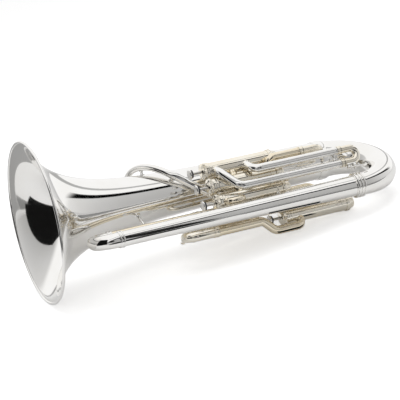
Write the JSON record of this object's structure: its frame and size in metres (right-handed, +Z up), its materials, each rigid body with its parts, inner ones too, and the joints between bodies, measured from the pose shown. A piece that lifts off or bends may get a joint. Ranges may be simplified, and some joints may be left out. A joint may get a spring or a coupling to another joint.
{
  "type": "euphonium",
  "caption": "Compensating euphonium with top valves, a side valve, tuning slides, leadpipe and wide conical bell, lying on its side.",
  "frame": {"origin": "centre of the bounding box, on the surface that the instrument lies on", "axes": "+X from the bell's mouth towards the bottom bow, level; +Z up as the instrument lies on its side; -Y is the side of the outer branch"},
  "size_m": [0.7052, 0.3278, 0.2963],
  "materials": {
    "silver_plate": "polished silver plate on brass",
    "inner_silver": "polished silver plate on brass, warmer where it is shaded by the tubes round it",
    "piston_nickel": "lapped nickel plate"
  },
  "bodies": {
    "horn": {"bell": "silver_plate", "bell_rim_wire": "silver_plate", "bottom_bow": "silver_plate", "bow_ferrule_branch": "silver_plate", "bow_ferrule_bell": "silver_plate", "bow_cap": "silver_plate", "outer_branch": "silver_plate", "top_bow": "silver_plate", "top_ferrule_outer": "silver_plate", "top_ferrule_inner": "silver_plate", "inner_branch": "inner_silver", "return_bow": "inner_silver", "valve_1_casing": "silver_plate", "valve_1_top_cap": "silver_plate", "valve_1_bottom_cap": "silver_plate", "valve_2_casing": "silver_plate", "valve_2_top_cap": "silver_plate", "valve_2_bottom_cap": "silver_plate", "valve_3_casing": "silver_plate", "valve_3_top_cap": "silver_plate", "valve_3_bottom_cap": "silver_plate", "valve_4_casing": "silver_plate", "valve_4_top_cap": "silver_plate", "valve_4_bottom_cap": "silver_plate", "valve_link_1_2": "inner_silver", "valve_link_2_3": "inner_silver", "valve_link_3_4": "inner_silver", "compensating_loop_1": "inner_silver", "compensating_loop_2": "inner_silver", "compensating_loop_3": "inner_silver", "slide_1_sleeves": "inner_silver", "slide_2_sleeves": "inner_silver", "slide_3_sleeves": "silver_plate", "slide_4_sleeves": "inner_silver", "main_slide_sleeves": "inner_silver", "side_valve_feed": "inner_silver", "leadpipe": "silver_plate", "mouthpiece_receiver": "silver_plate", "stay_branches": "inner_silver", "stay_bell": "inner_silver", "stay_valve_1": "inner_silver", "stay_valve_3": "inner_silver"},
    "valve_1": {"valve_1_piston": "piston_nickel", "valve_1_button": "silver_plate"},
    "valve_2": {"valve_2_piston": "piston_nickel", "valve_2_button": "silver_plate"},
    "valve_3": {"valve_3_piston": "piston_nickel", "valve_3_button": "silver_plate"},
    "valve_4": {"valve_4_piston": "piston_nickel", "valve_4_button": "silver_plate"},
    "slide_1_part": {"slide_1": "silver_plate"},
    "slide_2_part": {"slide_2": "silver_plate"},
    "slide_3_part": {"slide_3": "silver_plate", "water_key_3_saddle": "silver_plate"},
    "slide_4_part": {"slide_4": "silver_plate"},
    "main_slide_part": {"main_slide": "silver_plate", "water_key_main_saddle": "silver_plate"},
    "water_key_3_key": {"water_key_3_lever": "silver_plate"},
    "water_key_main_key": {"water_key_main_lever": "silver_plate"}
  },
  "joints": [
    {"name": "valve_1_press", "type": "slide", "parent": "horn", "child": "valve_1", "axis": [0.9913, 0, -0.1313], "range_m": [0, 0.016], "stiffness_N_per_m": 180, "springref_m": -0.014},
    {"name": "valve_2_press", "type": "slide", "parent": "horn", "child": "valve_2", "axis": [0.9913, 0, -0.1313], "range_m": [0, 0.016], "stiffness_N_per_m": 180, "springref_m": -0.014},
    {"name": "valve_3_press", "type": "slide", "parent": "horn", "child": "valve_3", "axis": [0.9913, 0, -0.1313], "range_m": [0, 0.016], "stiffness_N_per_m": 180, "springref_m": -0.014},
    {"name": "valve_4_press", "type": "slide", "parent": "horn", "child": "valve_4", "axis": [0.9913, 0, -0.1313], "range_m": [0, 0.016], "stiffness_N_per_m": 180, "springref_m": -0.014},
    {"name": "slide_1_pull", "type": "slide", "parent": "horn", "child": "slide_1_part", "axis": [0.9913, 0, -0.1313], "range_m": [0, 0.04]},
    {"name": "slide_2_pull", "type": "slide", "parent": "horn", "child": "slide_2_part", "axis": [0.9913, 0, -0.1313], "range_m": [0, 0.03]},
    {"name": "slide_3_pull", "type": "slide", "parent": "horn", "child": "slide_3_part", "axis": [0.9913, 0, -0.1313], "range_m": [0, 0.04]},
    {"name": "slide_4_pull", "type": "slide", "parent": "horn", "child": "slide_4_part", "axis": [-0.9913, 0, 0.1313], "range_m": [0, 0.04]},
    {"name": "main_slide_pull", "type": "slide", "parent": "horn", "child": "main_slide_part", "axis": [-0.9913, 0, 0.1313], "range_m": [0, 0.04]},
    {"name": "water_key_3_open", "type": "hinge", "parent": "slide_3_part", "child": "water_key_3_key", "pos_m": [0.2448, -0.12461, 0.08754], "axis": [0.0996, -0.6511, 0.7524], "range_deg": [0, 12], "stiffness_Nm_per_rad": 0.12, "springref_deg": -20.05},
    {"name": "water_key_main_open", "type": "hinge", "parent": "main_slide_part", "child": "water_key_main_key", "pos_m": [-0.07582, -0.06592, 0.04106], "axis": [0.0765, 0.8128, 0.5774], "range_deg": [0, 12], "stiffness_Nm_per_rad": 0.12, "springref_deg": -20.05}
  ]
}
